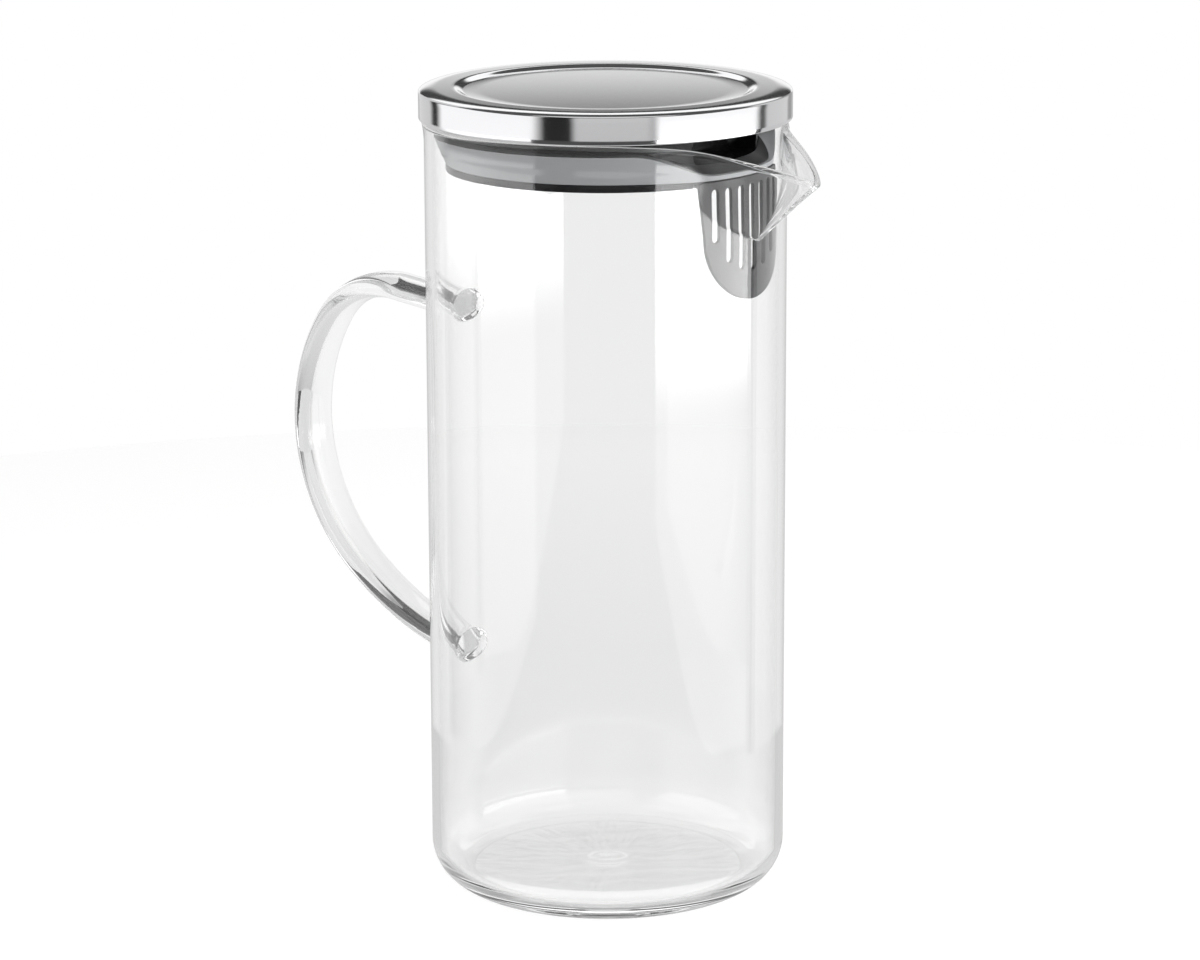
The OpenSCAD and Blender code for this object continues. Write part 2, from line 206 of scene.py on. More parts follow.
def spin_section(name, section, steps, start=0, angle=360, solid_ends=False):
    """Extrudes a point along the section and spins it round Z. A closed section ends where it starts."""
    x, z = section[0]
    piece = start_point(name, (x, 0, z))
    for x2, z2 in section[1:]:
        if abs(x2 - x) + abs(z2 - z) > MM / 1000:
            bpy.ops.mesh.extrude_region_move(TRANSFORM_OT_translate={"value": (x2 - x, 0, z2 - z)})
            x, z = x2, z2
    bpy.ops.mesh.select_all(action="SELECT")
    bpy.ops.mesh.remove_doubles(threshold=MM / 1000)
    if start:
        turn = Matrix.Rotation(math.radians(start), 4, "Z")
        bpy.ops.object.mode_set(mode="OBJECT")
        piece.data.transform(turn)
        bpy.ops.object.mode_set(mode="EDIT")
        bpy.ops.mesh.select_all(action="SELECT")
    bpy.ops.mesh.spin(steps=steps, angle=math.radians(angle), center=(0, 0, 0), axis=(0, 0, -1))
    bpy.ops.mesh.select_all(action="SELECT")
    bpy.ops.mesh.remove_doubles(threshold=MM / 1000)
    if solid_ends:
        close_open_ends()
    bpy.ops.mesh.normals_make_consistent(inside=False)
    bpy.ops.object.mode_set(mode="OBJECT")
    return piece


# %% [markdown]
# The studio is plain: a round pale table in a white room. The table shows white to the camera and keeps a
# soft shadow, because a part of its light is its own and the rest is what the lamps give it. Through the
# glass it shows a little greyer, as it does in the photograph, and mirrors don't see it at all.

# %% Table
TABLE_R = 0.6
TABLE_SIDES = 128
TABLE_ALBEDO = 0.8
TABLE_GLOW = 0.45
# What the table loses when it is seen through glass, by the distance from the axis as a share of its radius.
GLASS_DIMS_TABLE = ((0, 0.02), (0.1, 0.03), (0.17, 0.13), (0.42, 0.12), (0.9, 0.01))
ANY_MIRROR = 0.5


def new_material(name):
    """A new Principled material, with its nodes, links, shader and output."""
    material = bpy.data.materials.new(name)
    material.use_nodes = True
    nodes = material.node_tree.nodes
    return material, nodes, material.node_tree.links, nodes["Principled BSDF"], nodes["Material Output"]


def feed(tree, socket, value):
    """Gives a socket a number, or links another node's output to it."""
    if isinstance(value, (int, float)):
        socket.default_value = value
    else:
        tree.links.new(value, socket)


def maths(tree, operation, a, b):
    """A Math node. Each input is a number or another node's output."""
    node = tree.nodes.new("ShaderNodeMath")
    node.operation = operation
    feed(tree, node.inputs[0], a)
    feed(tree, node.inputs[1], b)
    return node.outputs[0]


def blend(tree, factor, a, b):
    """A Mix node for plain numbers."""
    node = tree.nodes.new("ShaderNodeMix")
    node.data_type = "FLOAT"
    tree.links.new(factor, node.inputs["Factor"])
    feed(tree, node.inputs["A"], a)
    feed(tree, node.inputs["B"], b)
    return node.outputs["Result"]


def grey_ramp(tree, value, stops):
    """Levels along a value from 0 to 1. Each stop is a place and its level."""
    ramp = tree.nodes.new("ShaderNodeValToRGB")
    elements = ramp.color_ramp.elements
    while len(elements) > 1:
        elements.remove(elements[-1])
    elements[0].position, elements[0].color = stops[0][0], (*[stops[0][1]] * 3, 1)
    for at, level in stops[1:]:
        elements.new(at).color = (level, level, level, 1)
    tree.links.new(value, ramp.inputs["Fac"])
    return ramp.outputs["Color"]


def map_range(tree, value, low, high, smooth=False):
    """A Map Range node from 0 to 1, which is soft at both ends where it is smooth."""
    node = tree.nodes.new("ShaderNodeMapRange")
    if smooth:
        node.interpolation_type = "SMOOTHSTEP"
    node.inputs["From Min"].default_value = low
    node.inputs["From Max"].default_value = high
    tree.links.new(value, node.inputs["Value"])
    return node


def seen_level(tree, path, level, dims):
    """The level for camera rays, less what glass takes for those through it, and 0 for all others."""
    dimmed = maths(tree, "SUBTRACT", level, dims)
    through = maths(tree, "MULTIPLY", path.outputs["Is Transmission Ray"], dimmed)
    straight = maths(tree, "MULTIPLY", path.outputs["Is Camera Ray"], level)
    unmirrored = maths(tree, "LESS_THAN", path.outputs["Glossy Depth"], ANY_MIRROR)
    return maths(tree, "MULTIPLY", maths(tree, "MAXIMUM", straight, through), unmirrored)


def show_to_mirrors(nodes, links, shader, output, seen):
    """Shows a stage piece only to rays that met a mirror, or only to those that didn't."""
    path = nodes.new("ShaderNodeLightPath")
    mirrored = maths(shader.id_data, "GREATER_THAN", path.outputs["Glossy Depth"], ANY_MIRROR)
    clear = nodes.new("ShaderNodeBsdfTransparent")
    mix = nodes.new("ShaderNodeMixShader")
    links.new(mirrored, mix.inputs[0])
    links.new(shader.outputs[0], mix.inputs[2 if seen else 1])
    links.new(clear.outputs[0], mix.inputs[1 if seen else 2])
    links.new(mix.outputs[0], output.inputs["Surface"])


table = start_piece(
    "table", bpy.ops.mesh.primitive_circle_add, vertices=TABLE_SIDES, radius=TABLE_R, fill_type="NGON"
)
table.visible_glossy = False
material, nodes, links, shader, output = new_material("pale table")
tree = material.node_tree
shader.inputs["Base Color"].default_value = (TABLE_ALBEDO, TABLE_ALBEDO, TABLE_ALBEDO, 1)
shader.inputs["Roughness"].default_value = 0.9
shader.inputs["Specular IOR Level"].default_value = 0
shader.inputs["Emission Color"].default_value = (1, 1, 1, 1)
path = nodes.new("ShaderNodeLightPath")
place = nodes.new("ShaderNodeTexCoord")
distance = nodes.new("ShaderNodeVectorMath")
distance.operation = "LENGTH"
links.new(place.outputs["Object"], distance.inputs[0])
dims = grey_ramp(tree, maths(tree, "DIVIDE", distance.outputs["Value"], TABLE_R), GLASS_DIMS_TABLE)
links.new(seen_level(tree, path, TABLE_GLOW, dims), shader.inputs["Emission Strength"])
show_to_mirrors(nodes, links, shader, output, False)
table.data.materials.append(material)
print("table of radius", TABLE_R, "m")

# %% [markdown]
# The room is white to the eye, straight or through glass. Mirrors see a real studio instead: a white sweep
# behind and below, a dim front where the photographer stands, and a dark ceiling with one bright panel.
# That is what gives clear glass its grey edges. Two ramps hold these levels by height, one for the front
# and one for the back, and the direction away from the camera blends them. Light that was mirrored twice or
# more, deep in the glass, never sees less than a middle grey.

# %% Room
ROOM_DIFFUSE = 0.55
GLASS_DIMS = 0.01
SECOND_MIRROR = 1.5
DEEP_LEVEL = 0.5
BEHIND_RANGE = (-0.2, 0.3)
HEIGHTS_BACK = (
    (0, 0.8), (0.43, 0.6), (0.46, 1), (0.55, 0.8), (0.68, 0.11), (0.955, 0.13), (0.965, 1), (1, 1)
)
HEIGHTS_FRONT = ((0, 0.9), (0.2, 0.8), (0.33, 0.1), (0.955, 0.06), (0.965, 1), (1, 1))

world = bpy.data.worlds.new("white room")
scene.world = world
world.use_nodes = True
tree = world.node_tree
background = tree.nodes["Background"]
background.inputs["Color"].default_value = (1, 1, 1, 1)
path = tree.nodes.new("ShaderNodeLightPath")
place = tree.nodes.new("ShaderNodeTexCoord")
parts = tree.nodes.new("ShaderNodeSeparateXYZ")
tree.links.new(place.outputs["Generated"], parts.inputs[0])
# A direction's height runs from -1 to 1, and a ramp from 0 to 1.
height = maths(tree, "MULTIPLY_ADD", parts.outputs["Z"], 0.5)
height.node.inputs[2].default_value = 0.5
away = tree.nodes.new("ShaderNodeVectorMath")
away.operation = "DOT_PRODUCT"
away.inputs[1].default_value = (-math.sin(CAMERA_AZIMUTH), math.cos(CAMERA_AZIMUTH), 0)
tree.links.new(place.outputs["Generated"], away.inputs[0])
behind = map_range(tree, away.outputs["Value"], *BEHIND_RANGE, smooth=True)
front_level = grey_ramp(tree, height, HEIGHTS_FRONT)
back_level = grey_ramp(tree, height, HEIGHTS_BACK)
mirrored = blend(tree, behind.outputs["Result"], front_level, back_level)
twice = maths(tree, "GREATER_THAN", path.outputs["Glossy Depth"], SECOND_MIRROR)
mirrored = maths(tree, "MAXIMUM", mirrored, maths(tree, "MULTIPLY", twice, DEEP_LEVEL))
level = blend(tree, path.outputs["Is Diffuse Ray"], mirrored, ROOM_DIFFUSE)
# The eye's own white comes first, and the studio's levels hold where there is none.
seen = seen_level(tree, path, 1, GLASS_DIMS)
hidden = maths(tree, "LESS_THAN", seen, GLASS_DIMS)
studio = maths(tree, "MULTIPLY", level, hidden)
tree.links.new(maths(tree, "MAXIMUM", seen, studio), background.inputs["Strength"])
print("room with", len(HEIGHTS_BACK), "levels behind and", len(HEIGHTS_FRONT), "in front")

# %% [markdown]
# Two tall light boxes stand left and right, just outside the view: they draw the long clear reflections
# down the glass and the white stretches on the steel. Each is a bent card that only mirrors see, with its
# corner cut where the photograph shows its reflection end. Dim cards beside them leave thin dark lines, and
# the steel cap, which looks over their upper edge, sees softer cards of its own.

# %% Light boxes
BOX_AWAY = 0.6
CARD_STEP = 2
CARD_LOW = -0.13
CARD_HIGH = 0.72
SKIRT_SIGHT = 0.126
LEFT_EDGE = -46.5
LEFT_STRENGTH = 2.5
RIGHT_EDGE = 31.7
RIGHT_STRENGTH = 4.5
BOX_FOOT = -0.124


def seat(angle, reach=GLASS_R):
    """Where on the ring of cards a mirror direction lands, in degrees. It starts at the wall of the glass."""
    return angle - math.degrees(math.asin(reach / BOX_AWAY * math.sin(math.radians(angle / 2))))


def card_angle(co):
    """Angle in degrees from the camera's direction, to its right."""
    angle = math.degrees(math.atan2(co.y, co.x)) + 90 - math.degrees(CAMERA_AZIMUTH)
    return angle - 360 if angle > 180 else angle


def studio_card(name, stops, low, high, strength=1, fade=(-1, 0, 1), reach=GLASS_R, away=BOX_AWAY):
    """A bent upright card that only mirrors see. The stops give its light along the mirror directions, in
    degrees from the camera's. The fade gives two heights and the share of the light that is left below the
    lower one."""
    seats = [seat(angle, reach) for angle, level in stops]
    span = seats[-1] - seats[0]
    start = math.degrees(CAMERA_AZIMUTH) - 90 + seats[0]
    steps = round(abs(span) / CARD_STEP)
    card = spin_section(name, line(away, 0, away, 1), steps, start=start, angle=span)
    for v in card.data.vertices:
        edge = low if v.co.z < 0.5 else high
        v.co.z = edge(card_angle(v.co)) if callable(edge) else edge
    card.visible_diffuse = card.visible_shadow = False
    material, nodes, links, shader, output = new_material(name)
    tree = material.node_tree
    shader.inputs["Base Color"].default_value = (0, 0, 0, 1)
    shader.inputs["Specular IOR Level"].default_value = 0
    shader.inputs["Emission Color"].default_value = (1, 1, 1, 1)
    place = nodes.new("ShaderNodeTexCoord")
    turn = nodes.new("ShaderNodeMapping")
    turn.inputs["Rotation"].default_value = (0, 0, math.pi / 2 - CAMERA_AZIMUTH)
    parts = nodes.new("ShaderNodeSeparateXYZ")
    links.new(place.outputs["Object"], turn.inputs["Vector"])
    links.new(turn.outputs["Vector"], parts.inputs[0])
    around = maths(tree, "ARCTAN2", parts.outputs["Y"], parts.outputs["X"])
    along = map_range(tree, around, math.radians(seats[0]), math.radians(seats[-1]))
    ramp = [((at - seats[0]) / span, level) for at, (angle, level) in zip(seats, stops)]
    light = maths(tree, "MULTIPLY", grey_ramp(tree, along.outputs["Result"], ramp), strength)
    rise = map_range(tree, parts.outputs["Z"], fade[0], fade[1], smooth=True)
    rise.inputs["To Min"].default_value = fade[2]
    links.new(maths(tree, "MULTIPLY", light, rise.outputs["Result"]), shader.inputs["Emission Strength"])
    show_to_mirrors(nodes, links, shader, output, True)
    card.data.materials.append(material)
    print(name, "from", round(seats[0]), "to", round(seats[-1]), "degrees")
    return nodes, links, shader


def rounded_drop(near, far, high, low):
    """A lower edge that falls along a quarter of an ellipse from one mirror direction to another."""
    near, far = seat(near), seat(far)

    def edge(angle):
        u = min(1, max(0, (angle - near) / (far - near)))
        return high + (low - high) * math.sin(math.pi / 2 * u)

    return edge


LEFT_SIDE = ((-125, 0.32), (-115, 0.6), (-95, 1), (LEFT_EDGE, 1))
LEFT_FADE = (0.06, 0.105, 0.3)
RIGHT_SIDE = ((RIGHT_EDGE, 1), (105, 1))
RIGHT_FADE = (0.02, 0.068, 0.18)
left_low = rounded_drop(LEFT_EDGE, -95, -0.06, BOX_FOOT)
right_low = rounded_drop(RIGHT_EDGE, 75, -0.02, BOX_FOOT)
studio_card("left pale wall", ((-163, 0.8), (-125, 0.8)), CARD_LOW, SKIRT_SIGHT)
studio_card("left box", LEFT_SIDE, left_low, SKIRT_SIGHT, LEFT_STRENGTH, LEFT_FADE)
studio_card("right box", RIGHT_SIDE, right_low, SKIRT_SIGHT, RIGHT_STRENGTH, RIGHT_FADE)
studio_card("right dark gap", ((105.2, 0.05), (111.5, 0.05)), CARD_LOW, SKIRT_SIGHT)
studio_card("right pale wall", ((111.5, 0.8), (163, 0.8)), CARD_LOW, SKIRT_SIGHT)

# The skirt of the cap looks over those cards, at fields of its own. Each has a level, the mirror direction
# where it ends and how soft that edge is.
CAP_START = -163
CAP_FIELDS = {
    "pale wall left": (0.82, -133.7, 2.7),
    "dark gap left": (0.04, -123, 3.4),
    "left box": (1.4, -41.5, 4),
    "black gap": (0.03, -19.7, 2),
    "grey front": (0.8, 27, 2),
    "dim line": (0.6, 31.3, 2),
    "right box": (1.45, 107.3, 3),
    "dark gap right": (0.12, 115.5, 2),
    "pale wall right": (0.85, 150.3, 2.4),
    "dim end": (0.42, 163, 0),
}
fields = list(CAP_FIELDS.values())
cap_side = [(CAP_START, fields[0][0])]
for (level, end, soft), (next_level, *rest) in zip(fields, fields[1:]):
    cap_side += [(end - soft, level), (end + soft, next_level)]
cap_side.append((fields[-1][1], fields[-1][0]))
studio_card("sweep for the cap", cap_side, SKIRT_SIGHT, CARD_HIGH, reach=CAP_R)

# The wall behind fades upwards, which gives the top of the cap its soft run from light to grey. Higher up
# it is white once more, for the bright line along the cap's front edge, and dark above that, for the line
# round the recess. Each stop is a height and its level.
WALL_LEVELS = (
    (0.262, 1.15), (0.316, 1.15), (0.328, 0.85), (0.339, 0.25), (0.35, 0.06), (0.45, 0.06),
    (0.48, 1.4), (0.66, 1.4), (0.69, 0.1), (1.7, 0.12)
)
WALL_LOW, WALL_HIGH = WALL_LEVELS[0][0], WALL_LEVELS[-1][0]
WALL_SIDE = ((150, 1), (210, 1))
WALL_AWAY = 0.62
nodes, links, shader = studio_card("fading wall", WALL_SIDE, WALL_LOW, WALL_HIGH, reach=0, away=WALL_AWAY)
tree = shader.id_data
place = nodes.new("ShaderNodeTexCoord")
parts = nodes.new("ShaderNodeSeparateXYZ")
links.new(place.outputs["Object"], parts.inputs[0])
fade = map_range(tree, parts.outputs["Z"], WALL_LOW, WALL_HIGH)
fade_stops = [((z - WALL_LOW) / (WALL_HIGH - WALL_LOW), level) for z, level in WALL_LEVELS]
links.new(grey_ramp(tree, fade.outputs["Result"], fade_stops), shader.inputs["Emission Strength"])
print("the wall behind has", len(WALL_LEVELS), "levels")

# %% [markdown]
# The light that falls on the lid and the table comes from two broad soft lamps, one behind each light box.
# They are kept out of reflections, where the cards already stand for them.

# %% Soft lamps
LAMP_AWAY = 0.9
LAMP_HEIGHT = 0.4
LAMP_WIDE, LAMP_HIGH = 0.7, 0.9
LAMP_ANGLE = 75
AIM = Vector((0, 0, 0.12))
LEFT_LAMP_POWER = 1.5
RIGHT_LAMP_POWER = 6


def soft_lamp(name, angle, power):
    data = bpy.data.lights.new(name, "AREA")
    data.shape = "RECTANGLE"
    data.size, data.size_y = LAMP_WIDE, LAMP_HIGH
    data.energy = power
    lamp = bpy.data.objects.new(name, data)
    scene.collection.objects.link(lamp)
    turn = CAMERA_AZIMUTH - math.pi / 2 + math.radians(angle)
    lamp.location = (LAMP_AWAY * math.cos(turn), LAMP_AWAY * math.sin(turn), LAMP_HEIGHT)
    lamp.rotation_euler = (AIM - lamp.location).to_track_quat("-Z", "Y").to_euler()
    lamp.visible_glossy = False
    lamp.visible_camera = False
    print(name, "at", [round(v, 2) for v in lamp.location])


soft_lamp("left lamp", -LAMP_ANGLE, LEFT_LAMP_POWER)
soft_lamp("right lamp", LAMP_ANGLE, RIGHT_LAMP_POWER)

# %% [markdown]
# Light bounces many times inside thick glass before it comes out again. With too few bounces those places
# turn black, so the limits are raised.

# %% Light bounces
scene.cycles.max_bounces = 40
scene.cycles.transmission_bounces = 40
scene.cycles.glossy_bounces = 24
scene.cycles.transparent_max_bounces = 24
print("light may bounce", scene.cycles.max_bounces, "times")

# %% [markdown]
# The glass is clear borosilicate. It is one Principled shader with full transmission, and a very faint slow
# ripple in its surface, which is what makes blown glass look blown. It swallows a little light on the way,
# so the floor, the edges and the rod, where the way is long, turn a soft grey. Lamps pass through it with
# little loss, so that what stands behind it is lit, as it is in real life. Light that is caught in the wall
# is let out after a few bounces. Real glass does the same by its small flaws, and without it the lip of the
# spout turns black.

# %% Glass
GLASS_IOR = 1.47
GLASS_TINT = (0.99, 0.99, 0.99, 1)
WALL_DENSITY = 3
ROD_DENSITY = 8
SWALLOWED = (0.5, 0.51, 0.51, 1)
CAUGHT_AFTER = 8
LAMP_SHARE = 0.97
WALL_RIPPLE = (30 * MM, 0.02 * MM)
ROD_RIPPLE = (14 * MM, 0.03 * MM)


def glass_material(name, ripple, density):
    """Clear glass. Its ripple has a size across the surface and a height."""
    size, height = ripple
    material, nodes, links, shader, output = new_material(name)
    shader.inputs["Base Color"].default_value = GLASS_TINT
    shader.inputs["Roughness"].default_value = 0
    shader.inputs["IOR"].default_value = GLASS_IOR
    shader.inputs["Transmission Weight"].default_value = 1
    place = nodes.new("ShaderNodeTexCoord")
    noise = nodes.new("ShaderNodeTexNoise")
    noise.inputs["Scale"].default_value = 1 / size
    noise.inputs["Detail"].default_value = 1
    bump = nodes.new("ShaderNodeBump")
    bump.inputs["Strength"].default_value = 1
    bump.inputs["Distance"].default_value = height
    links.new(place.outputs["Object"], noise.inputs["Vector"])
    links.new(noise.outputs["Fac"], bump.inputs["Height"])
    links.new(bump.outputs["Normal"], shader.inputs["Normal"])
    path = nodes.new("ShaderNodeLightPath")
    tree = material.node_tree
    lamp_ray = maths(tree, "MAXIMUM", path.outputs["Is Shadow Ray"], path.outputs["Is Diffuse Ray"])
    caught = maths(tree, "GREATER_THAN", path.outputs["Ray Depth"], CAUGHT_AFTER)
    clear = nodes.new("ShaderNodeBsdfTransparent")
    clear.inputs["Color"].default_value = (LAMP_SHARE, LAMP_SHARE, LAMP_SHARE, 1)
    mix = nodes.new("ShaderNodeMixShader")
    links.new(maths(tree, "MAXIMUM", lamp_ray, caught), mix.inputs[0])
    links.new(shader.outputs[0], mix.inputs[1])
    links.new(clear.outputs[0], mix.inputs[2])
    links.new(mix.outputs[0], output.inputs["Surface"])
    swallow = nodes.new("ShaderNodeVolumeAbsorption")
    swallow.inputs["Color"].default_value = SWALLOWED
    swallow.inputs["Density"].default_value = density
    links.new(swallow.outputs[0], output.inputs["Volume"])
    print(name, "with a ripple of", height / MM, "mm")
    return material


wall_glass = glass_material("clear blown glass", WALL_RIPPLE, WALL_DENSITY)
rod_glass = glass_material("clear glass rod", ROD_RIPPLE, ROD_DENSITY)

# %% [markdown]
# The body is turned like any vessel: floor, rounded foot, straight wall, rim, and back down the inside. The
# columns are drawn together towards the spout, where the glass changes shape fast.

# %% Glass body, turned
FOOT_R = 12.7 * MM
FLOOR_T = 4.6 * MM
HEEL_R = 8 * MM
DIMPLE_R = 6.3 * MM
DIMPLE_DEPTH = 0.8 * MM
SPOUT_DROP = 31 * MM
COLLAR_RUN = 4.2 * MM
CREASE_Z = RIM_Z - SPOUT_DROP
SPLIT_Z = CREASE_Z - COLLAR_RUN
RIM_ARC_Z = RIM_Z - WALL / 2
COLUMNS = 360
COLLAR_ROWS = 60
CREASE_SHARE = 0.3

dimple_ball_r = (DIMPLE_R ** 2 + DIMPLE_DEPTH ** 2) / (2 * DIMPLE_DEPTH)
dimple_half = math.degrees(math.asin(DIMPLE_R / dimple_ball_r))
body_section = (
    line(0, 0, GLASS_R - FOOT_R, 0, 6)
    + arc(GLASS_R - FOOT_R, FOOT_R, FOOT_R, -90, 0, 24)
    + line(GLASS_R, FOOT_R, GLASS_R, SPLIT_Z, 12)
    + line(GLASS_R, SPLIT_Z, GLASS_R, RIM_ARC_Z, COLLAR_ROWS)
    + arc(GLASS_R - WALL / 2, RIM_ARC_Z, WALL / 2, 0, 180, 12)
    + line(INNER_R, RIM_ARC_Z, INNER_R, SPLIT_Z, COLLAR_ROWS)
    + line(INNER_R, SPLIT_Z, INNER_R, FLOOR_T + HEEL_R, 12)
    + arc(INNER_R - HEEL_R, FLOOR_T + HEEL_R, HEEL_R, 0, -90, 18)
    + line(INNER_R - HEEL_R, FLOOR_T, DIMPLE_R, FLOOR_T, 16)
    + arc(0, FLOOR_T - DIMPLE_DEPTH + dimple_ball_r, dimple_ball_r, dimple_half - 90, -90, 8)
)
vessel = spin_section("pitcher_body", body_section, COLUMNS)
print("turned body of", len(vessel.data.vertices), "points")

# %% [markdown]
# The spout is drawn out of the hot rim: the lip is pulled out and down, and the wall under it is pinched
# into a V along a curved crease. No operator makes that form, so the points of the collar are moved by the
# same formulas as in the CAD model. One row of points is laid along the crease, which keeps it crisp.

# %% Glass body, drawn spout
SPOUT_REACH = 20.5 * MM
SPOUT_DIP = 12.5 * MM
SPOUT_HALF = math.radians(29)
DIP_HALF = math.radians(88)
SPOUT_CLIMB = 18 * MM
TIP_ANGLE = math.radians(1.2)
LIP_CURVE = 1.6
DIP_CURVE = 4.3
DRAW_SHARE = 0.15
RIM_FLARE = 0.8 * MM
FLARE_H = 7 * MM
FLARE_CURVE = 2
GATHER = 0.7


def lip_z(b):
    """Height of the lip at an angle b from the spout, in radians."""
    return RIM_Z - SPOUT_DIP * max(0, 1 - b / DIP_HALF) ** DIP_CURVE


def lip_out(b):
    """How far the lip is drawn out there. The tip is a little blunt."""
    blunt = math.hypot(b, TIP_ANGLE) - TIP_ANGLE
    return SPOUT_REACH * max(0, 1 - blunt / SPOUT_HALF) ** LIP_CURVE


def pinch_z(b):
    """Height of the crease, which climbs away from the spout's foot."""
    return CREASE_Z + SPOUT_CLIMB * (1 - math.sqrt(max(0, 1 - b / SPOUT_HALF)))


def pinch_share(z, b):
    """0 on the crease and 1 on the lip."""
    return min(1, max(0, (z - pinch_z(b)) / (lip_z(b) - pinch_z(b))))


def wall_out(z, b):
    flare = RIM_FLARE * max(0, 1 - (lip_z(b) - z) / FLARE_H) ** FLARE_CURVE
    return lip_out(b) * pinch_share(z, b) + flare


def wall_in(z, b):
    return wall_out(z, b) - WALL * DRAW_SHARE * pinch_share(z, b) * min(1, lip_out(b) / FLARE_H)


def draw_spout(co):
    """Where a point of the turned body goes."""
    r, a = math.hypot(co.x, co.y), math.atan2(co.y, co.x)
    a -= GATHER * math.sin(a)
    z = co.z
    if z > SPLIT_Z:
        b = abs(a)
        top = lip_z(b) - WALL / 2
        across = (r - INNER_R) / WALL
        if z < RIM_ARC_Z:
            u = (z - SPLIT_Z) / (RIM_ARC_Z - SPLIT_Z)
            if u < CREASE_SHARE:
                z = SPLIT_Z + (pinch_z(b) - SPLIT_Z) * u / CREASE_SHARE
            else:
                z = pinch_z(b) + (top - pinch_z(b)) * (u - CREASE_SHARE) / (1 - CREASE_SHARE)
            moved_z = z
        else:
            moved_z = top
            z = top + z - RIM_ARC_Z
        r += wall_in(moved_z, b) * (1 - across) + wall_out(moved_z, b) * across
    return Vector((r * math.cos(a), r * math.sin(a), z))


for v in vessel.data.vertices:
    if math.hypot(v.co.x, v.co.y) > MM:
        v.co = draw_spout(v.co)
finish_piece(vessel, wall_glass, "glass", "glass", "glass_body", angle=60)

# %% [markdown]
# The handle is a flat oval glass rod, bent hot round three radii and pressed on to the wall at both ends. A
# ring of points is extruded along the straight end and spun round the centre of each bend in turn. Near the
# wall the rod swells to a pad, and what is sunk in the wall is cut off again.

# %% Glass handle
HANDLE_W = 15 * MM
HANDLE_T = 7.5 * MM
HANDLE_TOP_Z = 168.5 * MM
HANDLE_RISE = math.radians(8)
HANDLE_RUN = 21.7 * MM
BEND_R = (26 * MM, 59.4 * MM, 92.4 * MM)
BEND_ENDS = (math.radians(-58), math.radians(-137))
PAD_GROW = 1.2 * MM
PAD_RUN = 2.6 * MM
OVAL_SHARE = 0.85
ROD_SIDES = 64
RUN_ROWS = 24
BEND_ROWS = 40
SUNK = 0.75 * WALL
FUSED_GAP = 0.02 * MM


def bend_centre(p, r, h):
    """The centre of a bend of radius r that starts at p with heading h."""
    return (p[0] + r * math.sin(h), p[1] - r * math.cos(h))


def bend_point(c, r, h):
    """The point of that bend where the heading is h."""
    return (c[0] - r * math.sin(h), c[1] + r * math.cos(h))


run_start = (GLASS_R, HANDLE_TOP_Z)
run_end = (GLASS_R + HANDLE_RUN * math.cos(HANDLE_RISE), HANDLE_TOP_Z + HANDLE_RUN * math.sin(HANDLE_RISE))
centres = []
point, heading = run_end, HANDLE_RISE
for radius, end in zip(BEND_R, BEND_ENDS + (None,)):
    centres.append(bend_centre(point, radius, heading))
    if end is not None:
        point, heading = bend_point(centres[-1], radius, end), end
stop = -math.pi - math.asin((centres[2][0] - INNER_R - WALL / 4) / BEND_R[2])
headings = (HANDLE_RISE,) + BEND_ENDS + (stop,)

handle = start_piece("pitcher_handle", bpy.ops.mesh.primitive_circle_add, vertices=ROD_SIDES, radius=1)
for v in handle.data.vertices:
    c, s = v.co.x, v.co.y
    across = HANDLE_T / 2 * math.copysign(abs(c) ** OVAL_SHARE, c)
    wide = HANDLE_W / 2 * math.copysign(abs(s) ** OVAL_SHARE, s)
    v.co = (
        -(GLASS_R - SUNK + across * math.sin(HANDLE_RISE)),
        wide,
        HANDLE_TOP_Z - SUNK * math.tan(HANDLE_RISE) - across * math.cos(HANDLE_RISE),
    )
bpy.ops.object.mode_set(mode="EDIT")
bpy.ops.mesh.select_all(action="SELECT")
run = (HANDLE_RUN + SUNK / math.cos(HANDLE_RISE)) / RUN_ROWS
step = (-run * math.cos(HANDLE_RISE), 0, run * math.sin(HANDLE_RISE))
for i in range(RUN_ROWS):
    bpy.ops.mesh.extrude_region_move(TRANSFORM_OT_translate={"value": step})
for centre, h1, h2 in zip(centres, headings, headings[1:]):
    bpy.ops.mesh.spin(steps=BEND_ROWS, angle=h1 - h2, center=(-centre[0], 0, centre[1]), axis=(0, 1, 0))
close_open_ends()
bpy.ops.mesh.normals_make_consistent(inside=False)
bpy.ops.object.mode_set(mode="OBJECT")


def path_point(co):
    """The nearest point of the rod's centre line, at its upper or its lower end."""
    if co.z > HANDLE_TOP_Z - 2 * HANDLE_T:
        along = (-co.x - run_start[0]) * math.cos(HANDLE_RISE) + (co.z - run_start[1]) * math.sin(HANDLE_RISE)
        return (run_start[0] + along * math.cos(HANDLE_RISE), run_start[1] + along * math.sin(HANDLE_RISE))
    dx, dz = -co.x - centres[2][0], co.z - centres[2][1]
    reach = math.hypot(dx, dz)
    return (centres[2][0] + dx * BEND_R[2] / reach, centres[2][1] + dz * BEND_R[2] / reach)


for v in handle.data.vertices:
    off_wall = -v.co.x - GLASS_R
    if off_wall < PAD_RUN:
        px, pz = path_point(v.co)
        offset = Vector((v.co.x + px, v.co.y, v.co.z - pz))
        grow = PAD_GROW * (1 - soft_step(off_wall / PAD_RUN))
        v.co += offset.normalized() * grow
wall_cutter = start_piece(
    "wall cutter", bpy.ops.mesh.primitive_cylinder_add, vertices=2 * COLUMNS, radius=GLASS_R + FUSED_GAP,
    depth=RIM_Z, location=(0, 0, RIM_Z / 2)
)
cut(handle, wall_cutter)
finish_piece(handle, rod_glass, "glass", "glass", "glass_handle", angle=50)

